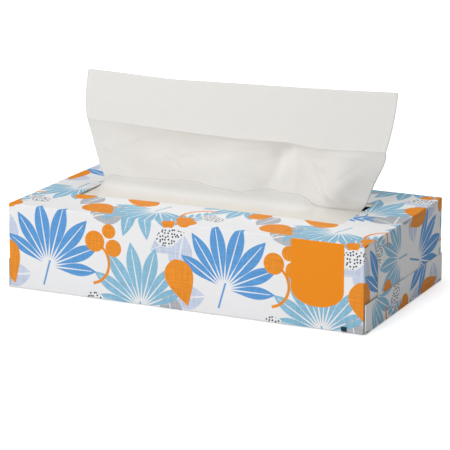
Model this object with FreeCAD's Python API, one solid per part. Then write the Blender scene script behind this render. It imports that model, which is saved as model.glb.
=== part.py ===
import FreeCAD, Part
import math
import os

# A flat box of facial tissues with one sheet pulled up through the slit in its top.
# Millimetres. X runs along the box, -Y is the long front face, +Z is up.
# The origin is the middle of the face that the box stands on.

# Carton
BOX_LENGTH = 232.0
BOX_WIDTH = 126.0
BOX_HEIGHT = 52.0
BOARD = 0.5
FOLD_RADIUS = 0.8          # outside of the four long folds
END_FOLD_RADIUS = 0.6      # outside of the folds at the ends
SEAM_TAB = 14.0            # glue tab of the long seam, inside the back panel

# End flaps, glued: bottom flap outermost, top flap under it, dust flaps innermost
BOTTOM_FLAP = 17.5         # how far the bottom flap stands up the end
FLAP_LAP = 12.0            # how far the top flap runs down behind it
TOP_FLAP_FRONT_INSET = 14.0
TOP_FLAP_BACK_INSET = 5.0
TOP_FLAP_TAPER = 6.5       # further inset of its front side, below the shoulder
TOP_FLAP_SHOULDER = 16.0
DUST_FLAP = 46.0
DUST_FLAP_TAPER = 5.0      # from where the top flap covers it to its tip
FLAP_SLACK = 0.2           # a dust flap's side to the panel beside it

# Opening in the top panel
OPENING_LEFT_MARGIN = 27.7
OPENING_RIGHT_MARGIN = 31.3
OPENING_FRONT_MARGIN = 38.5
OPENING_BACK_MARGIN = 33.0
OPENING_BOW = 3.0          # the long edges bow inwards by this much
OPENING_CORNER = 2.5

# Slit film, glued under the top panel
FILM = 0.15
FILM_MARGIN = 11.0         # glued border round the opening
FRONT_LIP_RISE = 4.8
BACK_LIP_RISE = 3.0
FILM_EDGE_GAP = 0.8        # the film lies flat to this far inside the opening's edge
FILM_SHEET_GAP = 0.8       # each lip to the sheet that it lets through
SLIT_END_HOLE = 14.0       # the back lip draws back by this much at the right end
LIP_CURVE = 1.7            # power of the lip's rise from its edge to its free side
LIP_FLATNESS = 4           # power of the rise's fall towards the slit's ends
LIP_SKEW = 0.2             # the left half of a lip rises more by this share
FILM_STATIONS = 17
STATION_CROWDING = 0.65    # share by which the stations crowd towards the slit's ends
LIP_STATIONS = 6

# Folded stack of sheets
STACK_END_GAP = 12.0
STACK_SIDE_GAP = 9.0
STACK_HEADROOM = 10.5      # free height over the stack
STACK_EDGE_RADIUS = 3.0

# The sheet that stands in the slit
SHEET = 0.3
SHEET_STANDS = 69.5        # top edge over the box
STRIP = 31.0               # crease to top edge
EDGE_RISE = 2.4            # top edge, right end higher than left end
CREASE_DROP = 4.0          # crease, right end lower than left end
SHEET_LEAN = 6.8           # top edge behind the slit, at the middle
SHEET_BOW = 8.5            # ends of the top edge behind its middle
LEFT_TUCK = 2.8            # the crease's left end lies this far inside the sheet's end
RIGHT_TUCK = 4.0
LEFT_FLARE = 2.0           # just over the slit, the sides spring out by this much
RIGHT_FLARE = 4.5
FLARE_HEIGHT = 4.0
RIDGE = 3.0                # the crease stands forward by this much
RIDGE_WIDTH = 7.0
SLIT_END_GAP = 3.5         # slit's end to the sheet's side
RIGHT_TURN = 9.5           # at the slit, the right end turns back by this much
LEFT_TURN = 5.0
RIGHT_SPREAD = 1.3         # power of the right side's spread, which starts later
RIGHT_TURN_FROM = 0.66     # share of the half-width from which the right end turns back
LEFT_TURN_FROM = 0.7
TURN_HOLDS = 4.0           # the ends stay turned back up to this height
SOFT_FOLD = 1.3            # depth of the two soft upright folds
SOFT_FOLDS_AT = (0.16, 0.46)    # shares of the half-width: the one bulges back, the other forward
SOFT_FOLD_WIDTH = 0.08     # share of the half-width
SOFT_FOLD_SLANT = 0.004    # the first fold's drift to the right with each mm of height
SOFT_FOLD_FADE = 8.0       # height over which the folds begin and end
SHEET_STATIONS = 25
SLOPE_STEP = 0.5           # half the run over which the sheet's slope is taken
LOW_LEVELS = (0.2, 0.4, 0.6, 0.8, 0.9, 1.0)     # shares of the height up to the crease
STRIP_LEVELS = (0.12, 0.3, 0.6, 1.0)            # shares of the strip over it
TAIL_LOOP = 0.3            # air inside the tail's fold
TAIL_BACK_GAP = 2.0        # the tail's fold to the stack's back edge

INNER_LENGTH = BOX_LENGTH - 6 * BOARD
INNER_WIDTH = BOX_WIDTH - 2 * BOARD
UNDER_TOP = BOX_HEIGHT - BOARD
TUBE_END = BOX_LENGTH / 2 - 2 * BOARD - END_FOLD_RADIUS

OPENING_X0 = -BOX_LENGTH / 2 + OPENING_LEFT_MARGIN
OPENING_X1 = BOX_LENGTH / 2 - OPENING_RIGHT_MARGIN
OPENING_Y0 = -BOX_WIDTH / 2 + OPENING_FRONT_MARGIN
OPENING_Y1 = BOX_WIDTH / 2 - OPENING_BACK_MARGIN
SLIT_Y = (OPENING_Y0 + OPENING_Y1) / 2

STACK_LENGTH = INNER_LENGTH - 2 * STACK_END_GAP
STACK_DEPTH = INNER_WIDTH - 2 * STACK_SIDE_GAP
STACK_TOP = UNDER_TOP - STACK_HEADROOM
SHEET_LENGTH = 2 * STACK_DEPTH


def box(x0, x1, y0, y1, z0, z1):
    corner = FreeCAD.Vector(min(x0, x1), min(y0, y1), min(z0, z1))
    return Part.makeBox(abs(x1 - x0), abs(y1 - y0), abs(z1 - z0), corner)


def fuse(shapes):
    return shapes[0].multiFuse(shapes[1:]).removeSplitter()


def edges_at(shape, **where):
    """Edges that lie wholly at the given coordinates, such as x=3.0, z=0.0."""
    kept = []
    for edge in shape.Edges:
        ends = [v.Point for v in edge.Vertexes]
        if all(abs(getattr(p, axis) - at) < 1e-6 for p in ends for axis, at in where.items()):
            kept.append(edge)
    return kept


def prism(points, step):
    face = Part.Face(Part.makePolygon(points + points[:1]))
    return face.extrude(step)


# Carton

def long_folds(block, radius, inset):
    """Rounds the four edges along X of a block that lies inset inside the box."""
    edges = []
    for y in (-BOX_WIDTH / 2 + inset, BOX_WIDTH / 2 - inset):
        for z in (inset, BOX_HEIGHT - inset):
            edges += edges_at(block, y=y, z=z)
    return block.makeFillet(radius, edges)


def tube():
    """The four long panels, as one folded tube that is open at both ends."""
    end = TUBE_END
    wide = BOX_WIDTH / 2
    outer = box(-end, end, -wide, wide, 0, BOX_HEIGHT)
    inner = box(-end - 1, end + 1, -wide + BOARD, wide - BOARD, BOARD, UNDER_TOP)
    outer = long_folds(outer, FOLD_RADIUS, 0.0)
    inner = long_folds(inner, FOLD_RADIUS - BOARD, BOARD)
    return outer.cut(inner)


def top_end(side):
    """End of the top panel beside its flap, over the dust flaps."""
    wide = BOX_WIDTH / 2 - FOLD_RADIUS
    start = side * (TUBE_END - BOARD)
    return box(start, side * (BOX_LENGTH / 2 - 2 * BOARD), -wide, wide, UNDER_TOP, BOX_HEIGHT)


def seam():
    """Glue tab of the tube: runs up inside the back panel from the bottom fold."""
    end = TUBE_END - BOARD
    back = BOX_WIDTH / 2 - BOARD
    return box(-end, end, back - BOARD, back, BOARD / 2, BOARD + SEAM_TAB)


def bottom_flap(side):
    face = side * BOX_LENGTH / 2
    root = side * (TUBE_END - BOARD)
    wide = BOX_WIDTH / 2 - FOLD_RADIUS
    block = box(root, face, -wide, wide, 0, BOTTOM_FLAP)
    block = block.makeFillet(END_FOLD_RADIUS, edges_at(block, x=face, z=0.0))
    hollow = box(root - side, face - side * BOARD, -wide - 1, wide + 1, BOARD, BOTTOM_FLAP + 1)
    return block.cut(hollow)


def top_flap(side):
    face = side * (BOX_LENGTH / 2 - BOARD)
    root = side * (TUBE_END - BOARD)
    front = -BOX_WIDTH / 2 + TOP_FLAP_FRONT_INSET
    back = BOX_WIDTH / 2 - TOP_FLAP_BACK_INSET
    low = BOTTOM_FLAP - FLAP_LAP
    block = box(root, face, front, back, low, BOX_HEIGHT)
    block = block.makeFillet(END_FOLD_RADIUS, edges_at(block, x=face, z=BOX_HEIGHT))
    hollow = box(root - side, face - side * BOARD, front - 1, back + 1, low - 1, UNDER_TOP)
    flap = block.cut(hollow)
    shoulder = BOX_HEIGHT - TOP_FLAP_SHOULDER
    x = root - side
    corner = [
        FreeCAD.Vector(x, front - 1, low - 1),
        FreeCAD.Vector(x, front + TOP_FLAP_TAPER, low - 1),
        FreeCAD.Vector(x, front + TOP_FLAP_TAPER, shoulder),
        FreeCAD.Vector(x, front, UNDER_TOP - END_FOLD_RADIUS),
        FreeCAD.Vector(x, front - 1, UNDER_TOP - END_FOLD_RADIUS),
    ]
    return flap.cut(prism(corner, FreeCAD.Vector(side * (3 * BOARD + 2), 0, 0)))


def dust_flap(side, edge):
    """Flap from a long side panel, with its fold: edge -1 is the front one, 1 the back one."""
    face = side * (BOX_LENGTH / 2 - 2 * BOARD)
    root = side * (TUBE_END - BOARD)
    fold = edge * BOX_WIDTH / 2
    tip = fold - edge * DUST_FLAP
    low = BOARD + FLAP_SLACK
    high = UNDER_TOP - FLAP_SLACK
    block = box(root, face, fold, tip, low, high)
    block = block.makeFillet(END_FOLD_RADIUS, edges_at(block, x=face, y=fold))
    inside = fold - edge * BOARD
    hollow = box(root - side, face - side * BOARD, inside, tip - edge, low - 1, high + 1)
    x = root - side
    covered = fold - edge * (TOP_FLAP_FRONT_INSET + TOP_FLAP_TAPER)
    outline = [
        FreeCAD.Vector(x, fold + edge, low),
        FreeCAD.Vector(x, covered, low),
        FreeCAD.Vector(x, tip, low + DUST_FLAP_TAPER),
        FreeCAD.Vector(x, tip, high - DUST_FLAP_TAPER),
        FreeCAD.Vector(x, covered, high),
        FreeCAD.Vector(x, fold + edge, high),
    ]
    return block.cut(hollow).common(prism(outline, FreeCAD.Vector(side * (3 * BOARD + 2), 0, 0)))


def opening_cutter():
    """Long opening with bowed long edges and rounded corners, as a block to cut with."""
    low = BOX_HEIGHT - 2 * BOARD
    mid = (OPENING_X0 + OPENING_X1) / 2
    corner = [
        FreeCAD.Vector(OPENING_X0, OPENING_Y0, low),
        FreeCAD.Vector(OPENING_X1, OPENING_Y0, low),
        FreeCAD.Vector(OPENING_X1, OPENING_Y1, low),
        FreeCAD.Vector(OPENING_X0, OPENING_Y1, low),
    ]
    front = Part.Arc(corner[0], FreeCAD.Vector(mid, OPENING_Y0 + OPENING_BOW, low), corner[1])
    back = Part.Arc(corner[2], FreeCAD.Vector(mid, OPENING_Y1 - OPENING_BOW, low), corner[3])
    wire = Part.Wire([
        front.toShape(),
        Part.makeLine(corner[1], corner[2]),
        back.toShape(),
        Part.makeLine(corner[3], corner[0]),
    ])
    block = Part.Face(wire).extrude(FreeCAD.Vector(0, 0, 3 * BOARD))
    upright = [e for e in block.Edges if abs(e.Vertexes[0].Z - e.Vertexes[-1].Z) > BOARD]
    return block.makeFillet(OPENING_CORNER, upright)


def make_carton():
    pieces = [tube(), seam()]
    for side in (-1, 1):
        pieces.append(top_end(side))
        pieces.append(bottom_flap(side))
        pieces.append(top_flap(side))
        for edge in (-1, 1):
            pieces.append(dust_flap(side, edge))
    return fuse(pieces).cut(opening_cutter())


# The sheet's run: where it stands at each height over the box

def smooth(t):
    t = max(0.0, min(1.0, t))
    return t * t * (3 - 2 * t)


def bump(distance, width):
    return math.exp(-(distance / width) ** 2)


def sheet_sides(height):
    """X of the sheet's left and right sides at a height over the box."""
    left = OPENING_X0 + SLIT_END_GAP
    right = OPENING_X1 - SLIT_END_GAP / 2
    full = STACK_LENGTH / 2
    crease = SHEET_STANDS - STRIP
    spread = smooth(height / crease)
    flare = 1 - math.exp(-max(0.0, height) / FLARE_HEIGHT)
    over = max(0.0, (height - crease) / STRIP)
    left_far = -full + LEFT_TUCK * (1 - math.sqrt(over))
    right_far = full - RIGHT_TUCK * (1 - over)
    left += (left_far + LEFT_FLARE - left) * spread - LEFT_FLARE * flare
    right += (right_far - RIGHT_FLARE - right) * spread ** RIGHT_SPREAD + RIGHT_FLARE * flare
    return left, right


def sheet_y(x, height):
    """Y of the sheet's middle plane: lean, bow, turned-back ends, ridge and soft folds."""
    crease = SHEET_STANDS - STRIP
    left, right = sheet_sides(height)
    across = (2 * x - left - right) / (right - left)
    lean = SHEET_LEAN * max(0.0, height) / SHEET_STANDS
    bow = SHEET_BOW * smooth(height / crease) * across ** 2
    ridge = -RIDGE * bump(height - crease, RIDGE_WIDTH)
    unturned = smooth((height - TURN_HOLDS) / (crease - TURN_HOLDS))
    low = (1 - unturned) * smooth(1 + height / STACK_HEADROOM)
    turned = RIGHT_TURN * smooth((across - RIGHT_TURN_FROM) / (1 - RIGHT_TURN_FROM))
    turned += LEFT_TURN * smooth((-across - LEFT_TURN_FROM) / (1 - LEFT_TURN_FROM))
    fade = smooth(height / SOFT_FOLD_FADE) * smooth((crease - height) / SOFT_FOLD_FADE)
    folds = bump(across - SOFT_FOLDS_AT[0] - SOFT_FOLD_SLANT * height, SOFT_FOLD_WIDTH)
    folds -= bump(across - SOFT_FOLDS_AT[1], SOFT_FOLD_WIDTH)
    return SLIT_Y + lean + bow + ridge + low * turned + SOFT_FOLD * fade * folds


# Slit film

def film_curve(rows):
    curve = Part.BSplineCurve()
    curve.interpolate(rows)
    return curve.toShape()


def opening_edge(x, back):
    """Y of the opening's bowed front or back edge."""
    mid = (OPENING_X0 + OPENING_X1) / 2
    half = (OPENING_X1 - OPENING_X0) / 2
    radius = (half ** 2 + OPENING_BOW ** 2) / (2 * OPENING_BOW)
    inwards = OPENING_BOW - radius + math.sqrt(radius ** 2 - (x - mid) ** 2)
    return OPENING_Y1 - inwards if back else OPENING_Y0 + inwards


def lip_profile(x, base_y, free_y, lip_y, rise):
    """Closed outline, across the box, of one half of the film from its border to its lip."""
    low = UNDER_TOP - FILM
    under, over = [], []
    for k in range(LIP_STATIONS):
        s = k / (LIP_STATIONS - 1)
        y = free_y + (lip_y - free_y) * s
        z = low + rise * s ** LIP_CURVE
        under.append(FreeCAD.Vector(x, y, z))
        over.append(FreeCAD.Vector(x, y, z + FILM))
    base_under = FreeCAD.Vector(x, base_y, low)
    base_over = FreeCAD.Vector(x, base_y, low + FILM)
    return Part.Wire([
        Part.makeLine(base_under, under[0]),
        film_curve(under),
        Part.makeLine(under[-1], over[-1]),
        film_curve(over[::-1]),
        Part.makeLine(over[0], base_over),
        Part.makeLine(base_over, base_under),
    ])


def lip_rise(x, most):
    mid = (OPENING_X0 + OPENING_X1) / 2
    across = 2 * (x - mid) / (OPENING_X1 - OPENING_X0)
    return most * max(0.0, 1 - across ** LIP_FLATNESS) * (1 - LIP_SKEW * across)


def film_half(back):
    """The film from the opening's front or back edge to its lip beside the sheet."""
    profiles = []
    inwards = -1 if back else 1
    base = OPENING_Y1 if back else OPENING_Y0
    for k in range(FILM_STATIONS):
        along = 2 * k / (FILM_STATIONS - 1) - 1
        along += STATION_CROWDING * (math.sin(math.pi / 2 * along) - along)
        x = (OPENING_X0 + OPENING_X1 + along * (OPENING_X1 - OPENING_X0)) / 2
        rise = lip_rise(x, BACK_LIP_RISE if back else FRONT_LIP_RISE)
        free = opening_edge(x, back) + inwards * FILM_EDGE_GAP
        lip = sheet_y(x, rise - BOARD) - inwards * (SHEET / 2 + FILM_SHEET_GAP)
        if back:
            hole_run = 2 * SLIT_END_HOLE
            hole = SLIT_END_HOLE * smooth((x - OPENING_X1 + hole_run) / hole_run)
            lip = min(lip + hole, free - FILM_EDGE_GAP)
            rise *= smooth((free - lip) / SLIT_END_HOLE)
        profiles.append(lip_profile(x, base, free, lip, rise))
    return Part.makeLoft(profiles, True, True)


def film_border():
    low = UNDER_TOP - FILM
    x0, x1 = OPENING_X0 - FILM_MARGIN, OPENING_X1 + FILM_MARGIN
    y0, y1 = OPENING_Y0 - FILM_MARGIN, OPENING_Y1 + FILM_MARGIN
    plate = box(x0, x1, y0, y1, low, UNDER_TOP)
    return plate.cut(box(OPENING_X0, OPENING_X1, OPENING_Y0, OPENING_Y1, low - 1, UNDER_TOP + 1))


def make_film():
    return fuse([film_border(), film_half(False), film_half(True)])


# Stack of folded sheets

def make_stack():
    wide = STACK_DEPTH / 2
    block = box(-STACK_LENGTH / 2, STACK_LENGTH / 2, -wide, wide, BOARD, STACK_TOP)
    folds = []
    for y in (-wide, wide):
        for z in (BOARD, STACK_TOP):
            folds += edges_at(block, y=y, z=z)
    return block.makeFillet(STACK_EDGE_RADIUS, folds)


# Standing sheet

def sheet_section(height, tilt):
    """Thin closed outline of the sheet on a nearly level plane at a height over the box."""
    left, right = sheet_sides(height)
    front, back = [], []
    for k in range(SHEET_STATIONS):
        x = left + (right - left) * k / (SHEET_STATIONS - 1)
        run = 2 * SLOPE_STEP
        rise = sheet_y(x + SLOPE_STEP, height) - sheet_y(x - SLOPE_STEP, height)
        nx = -rise / math.hypot(run, rise) * SHEET / 2
        ny = run / math.hypot(run, rise) * SHEET / 2
        y = sheet_y(x, height)
        z = BOX_HEIGHT + height + tilt * x / (STACK_LENGTH / 2)
        front.append(FreeCAD.Vector(x - nx, y - ny, z - tilt * nx / (STACK_LENGTH / 2)))
        back.append(FreeCAD.Vector(x + nx, y + ny, z + tilt * nx / (STACK_LENGTH / 2)))
    return Part.Wire([
        film_curve(front),
        Part.makeLine(front[-1], back[-1]),
        film_curve(back[::-1]),
        Part.makeLine(back[0], front[0]),
    ])


def standing_part():
    """From the tail on the stack, through the slit, to the crease and on to the top edge."""
    crease = SHEET_STANDS - STRIP
    foot = STACK_TOP + 2 * SHEET + TAIL_LOOP - BOX_HEIGHT
    levels = [(foot, 0.0), (foot / 2, 0.0), (0.0, 0.0)]
    for share in LOW_LEVELS:
        levels.append((crease * share, -CREASE_DROP / 2 * share ** 2))
    for share in STRIP_LEVELS:
        tilt = -CREASE_DROP / 2 + (CREASE_DROP + EDGE_RISE) / 2 * share
        levels.append((crease + STRIP * share, tilt))
    return Part.makeLoft([sheet_section(height, tilt) for height, tilt in levels], True, True)


def tail():
    """The rest of the sheet, folded once, lying on the stack."""
    left, right = sheet_sides(-STACK_HEADROOM)
    full = STACK_LENGTH / 2
    front = SLIT_Y - SHEET / 2
    fold = STACK_DEPTH / 2 - TAIL_BACK_GAP
    standing = SHEET_STANDS + STACK_HEADROOM
    reach = SHEET_LENGTH - standing - (fold - front)
    upper = STACK_TOP + SHEET + TAIL_LOOP
    outline = [
        FreeCAD.Vector(left, front, upper),
        FreeCAD.Vector(right, front, upper),
        FreeCAD.Vector(full, front + full - right, upper),
        FreeCAD.Vector(full, fold, upper),
        FreeCAD.Vector(-full, fold, upper),
        FreeCAD.Vector(-full, front + full + left, upper),
    ]
    top_leaf = prism(outline, FreeCAD.Vector(0, 0, SHEET))
    low_leaf = box(-full, full, fold - reach, fold, STACK_TOP, STACK_TOP + SHEET)
    turn = box(-full, full, fold, fold + SHEET, STACK_TOP, upper + SHEET)
    return fuse([top_leaf, low_leaf, turn])


def make_sheet():
    return fuse([standing_part(), tail()])


os.makedirs("parts", exist_ok=True)
make_carton().exportStep("parts/carton.step")
make_film().exportStep("parts/slit_film.step")
make_stack().exportStep("parts/tissue_stack.step")
make_sheet().exportStep("parts/pulled_tissue.step")
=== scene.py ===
import math

import bmesh
import bpy
import numpy as np
from bpy.props import FloatProperty, FloatVectorProperty, IntProperty, PointerProperty
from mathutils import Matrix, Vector


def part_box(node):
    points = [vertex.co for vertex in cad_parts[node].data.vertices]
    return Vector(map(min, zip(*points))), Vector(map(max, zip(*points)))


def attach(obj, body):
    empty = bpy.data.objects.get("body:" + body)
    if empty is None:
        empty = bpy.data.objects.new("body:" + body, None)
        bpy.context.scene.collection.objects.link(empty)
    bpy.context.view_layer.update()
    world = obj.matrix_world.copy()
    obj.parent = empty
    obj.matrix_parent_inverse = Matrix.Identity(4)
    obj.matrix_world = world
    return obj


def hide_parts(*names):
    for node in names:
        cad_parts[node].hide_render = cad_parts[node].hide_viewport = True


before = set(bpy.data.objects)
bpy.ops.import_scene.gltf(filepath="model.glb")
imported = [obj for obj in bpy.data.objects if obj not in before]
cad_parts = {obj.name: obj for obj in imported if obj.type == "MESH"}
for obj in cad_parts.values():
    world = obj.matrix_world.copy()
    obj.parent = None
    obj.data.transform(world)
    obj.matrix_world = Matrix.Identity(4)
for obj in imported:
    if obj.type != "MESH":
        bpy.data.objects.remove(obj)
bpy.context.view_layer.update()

bl_info = {
    "name": "Tissue Box Dresser",
    "version": (1, 0, 0),
    "blender": (4, 5, 0),
    "location": "3D View > Sidebar > Tissue Box",
    "description": "Prints the carton, lays the slit film and pulls up the top sheet of a flat tissue box",
    "category": "Object",
}

MM = 0.001


def corners(node):
    """The low and the high corner of a CAD node's box, in mm."""
    return [[float(side) / MM for side in corner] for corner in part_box(node)]


# The carton and what it holds, in millimetres, from the frame
_, (HALF_LENGTH, HALF_WIDTH, HEIGHT) = corners("carton")
_, (HALF_STACK, STACK_HALF_WIDTH, STACK_TOP) = corners("tissue_stack")
FILM_LOW, FILM_HIGH = corners("slit_film")
SHEET_TOP = corners("pulled_tissue")[1][2]

# Board, flaps and opening, in millimetres
BOARD = 0.5
BOTTOM_FLAP = 17.5
BOTTOM_FLAP_SIDE = 0.75  # the flap's side stands this far inside the front face
TOP_FLAP_FRONT = 14.0  # from the front face to the top flap's side
TOP_FLAP_TAPER = 6.5
TOP_FLAP_SHOULDER = 16.0
TOP_FLAP_BACK = 5.0
FILM_MARGIN = 11.0
OPENING_BOW = 3.0

OPENING_X0, OPENING_Y0 = FILM_LOW[0] + FILM_MARGIN, FILM_LOW[1] + FILM_MARGIN
OPENING_X1, OPENING_Y1 = FILM_HIGH[0] - FILM_MARGIN, FILM_HIGH[1] - FILM_MARGIN
OPENING_MID = (OPENING_X0 + OPENING_X1) / 2
HALF_OPENING = (OPENING_X1 - OPENING_X0) / 2
SLIT_Y = (OPENING_Y0 + OPENING_Y1) / 2
UNDER_TOP = HEIGHT - BOARD
HEADROOM = UNDER_TOP - STACK_TOP

# The sheet's outline and run, in millimetres
FLAT_RUN = 4 * STACK_HALF_WIDTH  # two leaves, each as wide as the stack
SHEET_CAD = 0.3  # the CAD sheet's thickness
EDGE_RISE = 2.4  # top edge, right end higher than left end
CREASE_DROP = 4.0  # crease, right end lower than left end
LEFT_OVERHANG = 0.6  # top edge's left end past the plain half-width
STRIP_BOW = 0.9  # how far the strip's left side bows out
LEFT_TUCK = 2.8  # top edge's left end to the crease's left end
RIGHT_TUCK = 4.0
LEFT_FLARE = 2.0  # just over the slit, the sides spring out by this much
RIGHT_FLARE = 4.5
FLARE_HEIGHT = 4.0
LEFT_SPREAD = 0.65  # powers of the sides' spread up to the crease
RIGHT_SPREAD = 1.3
SLIT_END_GAP = 3.5  # slit's left end to the sheet's side, and half of it at the right
LEFT_TURN = 5.0  # at the slit, the left end turns back by this much
LEFT_TURN_FROM = 0.7  # share of the half-width from which it does
LEFT_TURN_HOLDS = 4.0  # height up to which it stays turned back
RIGHT_TURN = 9.5
RIGHT_TURN_HOLDS = 10.0
TURN_DRAWS_IN = 0.47  # share of the right end's extra turn that its side loses in x
RIGHT_CLOSE_Y = 17.0  # y at which the slit closes at its right end
TAIL_LOOP = 0.3  # air inside the tail's fold
TAIL_BACK_GAP = 2.0  # the tail's fold to the stack's back edge
FOOT_BEND = 1.2  # height over the tail at which its bend begins

# Slanting fold at the right: place at the slit, drift with each mm of height, roundness
FOLD_FOOT, FOLD_SLANT, FOLD_ROUND = 64.5, 0.5, 1.8

# Soft folds: depth, place in x and width. The shoulder's place is from the slanting fold
BULGE = (3.4, 1.0, 15.0)
VALLEY = (3.4, 20.0, 6.5)
SHOULDER = (2.4, -6.0, 11.0)
TOP_SAG = (0.9, -40.0, 28.0)
RIB_DEPTH, RIB_X, RIB_WIDTH = 1.2, 43.0, 1.8
BULGE_FADE = 14.0  # the bulge ends over this height under the crease
VALLEY_SLANT = 0.5  # the valley's drift to the right with each mm of height

# Along the crease: places in x, and the hollow's depth and reach under it there
UNDERCUT_DEPTH = (
    (-100, -84, -54, -24, -8, 30, 38, 46, 75, 100),
    (2.6, 3.4, 9.0, 10.0, 8.2, 7.2, 5.2, 4.0, 2.6, 1.6))
UNDERCUT_REACH = ((-100, -72, -44, -20, -6, 14, 34, 46, 100), (11, 14, 19, 16, 12, 15, 12, 9, 7))

# Along the crease: places in x, and how far the crease steps up there
CREASE_STEP = ((-100, -70, 5, 38, 58, 100), (-0.9, 0, 0, 1.0, -0.7, 0.4))
STEP_REACH = 12.0  # the step is lost over this height to each side

# Creases that show, as start and end in x and height, width and depth
SEEN_CREASES = (
    ((-46, 21), (-34, 13), 1.1, -1.65),
    ((-41, 24), (-36, 16), 0.9, 1.2),
    ((-27, 31), (-27, 12), 0.8, -0.75),
    ((-60, 16), (-36, 22), 1.6, -0.9),
    ((50, 28), (60, 22), 1.1, -1.05),
    ((54, 24), (63, 10), 0.9, -1.35),
    ((56, 15), (66, 6), 0.9, -1.8),
    ((50, 17), (57, 11), 1.0, 1.5),
    ((66, 12), (73, 6), 1.0, -1.5),
    ((12, 14), (24, 11), 1.2, -0.9),
    ((68, 16), (80, 26), 1.6, 0.75),
    ((-88, 22), (-70, 12), 1.5, -0.9),
)

# Fine creases: how many, and the ranges that each one is drawn from
FINE_SEED, FINE_COUNT = 11, 46
FINE_X, FINE_HEIGHT = (-95, 95), (2, 36)
FINE_TURN, FINE_LENGTH = (-0.6, 0.6), (6, 22)
FINE_WIDTH, FINE_DEPTH = (0.7, 2.2), (-1, 1)

# Along the slit: places in x, and the front lip's rise there as a share of its highest
LIP_SHAPE = ((-88.3, -84, -52, -24, 6, 25, 46, 60, 84.7), (0, 0.74, 0.84, 0.98, 0.68, 1.0, 0.92, 0.3, 0))

# Rows of the sheet's grid from its top edge on, and the film's rows and columns
STRIP_ROWS, CREASE_ROWS, PLAIN_ROWS = 38, 23, 64
BEND_ROWS, UPPER_ROWS, LOOP_ROWS, LOWER_ROWS = 6, 34, 9, 24
BORDER_ROWS, LIP_ROWS, FILM_COLUMNS = 9, 34, 240

# Lamps: places and widths, in metres
LAMP_TARGET = (0, 0, 0.05)
KEY_PLACE, KEY_WIDTH = (-0.42, -1.98, 1.20), 1.4
TOP_PLACE, TOP_WIDTH = (0.0, 0.45, 2.05), 1.6


def ink(red, green, blue):
    """A colour as it is seen, 0 to 255, in the linear values that shaders use."""
    seen = np.array([red, green, blue]) / 255
    linear = np.where(seen <= 0.04045, seen / 12.92, ((seen + 0.055) / 1.055) ** 2.4)
    return tuple(float(value) for value in linear)


def colour(name, description, default):
    return FloatVectorProperty(
        name=name, description=description, subtype="COLOR", default=default, min=0, max=1)


def measure(name, description, default):
    """A length setting whose default is given in mm."""
    return FloatProperty(
        name=name, description=description, default=default * MM, unit="LENGTH", precision=5)


def fraction(name, description, default):
    return FloatProperty(name=name, description=description, default=default, min=0, max=1)


class PrintSettings(bpy.types.PropertyGroup):
    """Inks and sizes of the carton's print."""

    ground: colour("Ground", "Coated board with no ink", ink(241, 241, 242))
    mid_blue: colour("Mid Blue", "Large fan leaves", ink(95, 158, 218))
    light_blue: colour("Light Blue", "Fan leaves and sprigs", ink(142, 192, 218))
    orange: colour("Orange", "Berries, seeds and stems", ink(238, 146, 44))
    grey: colour("Grey", "Round leaf pairs", ink(182, 186, 191))
    lilac: colour("Lilac", "Pale leaf pairs", ink(204, 214, 233))
    navy: colour("Navy", "Seed dots and the small square mark", ink(38, 58, 80))
    bare_board: colour("Bare Board", "Cut edges and the inside", ink(214, 209, 200))
    tab_orange: colour("Tab", "Plain rounded tab on the front", ink(243, 144, 26))
    linen: fraction("Linen", "Depth of the woven look in the inks", 0.22)
    edge: measure("Ink Edge", "Width over which an ink fades at its edge", 0.25)


class FilmSettings(bpy.types.PropertyGroup):
    """Sizes and colours of the slit film."""

    thickness: measure("Thickness", "Film thickness", 0.05)
    front_rise: measure("Front Lip", "How far the front lip rises at its highest", 8.8)
    back_rise: measure("Back Lip", "How far the back lip rises", 3.0)
    end_hole: measure("End Hole", "How far the back lip draws back at the right end", 11.0)
    sag: measure("Left Sag", "How far the film sags under the opening's left edge", 1.5)
    tint: colour("Tint", "Film where it rises", ink(252, 250, 246))
    cream: colour("Cream", "Film under the opening's edge", ink(243, 238, 229))
    # Lip: painted see-through, the sheet's shaded tone as if seen through the film
    lip: colour("Lip", "Film with the sheet close behind it", ink(239, 237, 232))
    # Lip line: width of a painted highlight along the film's top edge
    painted_lip_highlight: measure("Lip Line", "Width of the lip's pale edge", 0.9)
    alpha: fraction("Alpha", "Opacity of the film", 0.9)


class SheetSettings(bpy.types.PropertyGroup):
    """Sizes and colour of the sheet that stands in the slit."""

    thickness: measure("Thickness", "Two plies", 0.14)
    stands: measure("Stands", "Top edge over the box", SHEET_TOP - HEIGHT - EDGE_RISE / 2 + 1.0)
    strip: measure("Strip", "Crease to top edge", 32.0)
    lean: measure("Lean", "Top edge behind the slit", 6.8)
    bow: measure("Bow", "Ends of the top edge behind its middle", 8.5)
    ridge: measure("Ridge", "How far the crease stands forward", 4.4)
    crumple: measure("Crumple", "Depth of the fine creases", 0.7)
    across: IntProperty(name="Across", description="Columns of the grid", default=200, min=20)
    paper: colour("Paper", "Soft white paper", ink(235, 233, 229))


class StackSettings(bpy.types.PropertyGroup):
    """Colour and pitch of the folded stack."""

    paper: colour("Paper", "Soft white paper", ink(232, 230, 226))
    pitch: measure("Pitch", "Height of one folded leaf", 0.26)


class StageSettings(bpy.types.PropertyGroup):
    """Camera and light."""

    azimuth: FloatProperty(
        name="Azimuth", description="Turn of the camera", default=math.radians(25.26), subtype="ANGLE")
    elevation: FloatProperty(
        name="Elevation", description="Tilt of the camera", default=math.radians(14.70), subtype="ANGLE")
    place: FloatVectorProperty(
        name="Camera", description="Camera's place", default=(0.57843, -1.22793, 0.39266), subtype="XYZ")
    lens: FloatProperty(
        name="Lens", description="Focal length on a 36 mm sensor", default=185.7, unit="CAMERA")
    key: FloatProperty(name="Key", description="Power of the large soft lamp", default=33.0, unit="POWER")
    top: FloatProperty(name="Top", description="Power of the lamp overhead", default=20.5, unit="POWER")
    fill: FloatProperty(name="Fill", description="Light from all round", default=0.17, min=0)


# Node wiring

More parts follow.
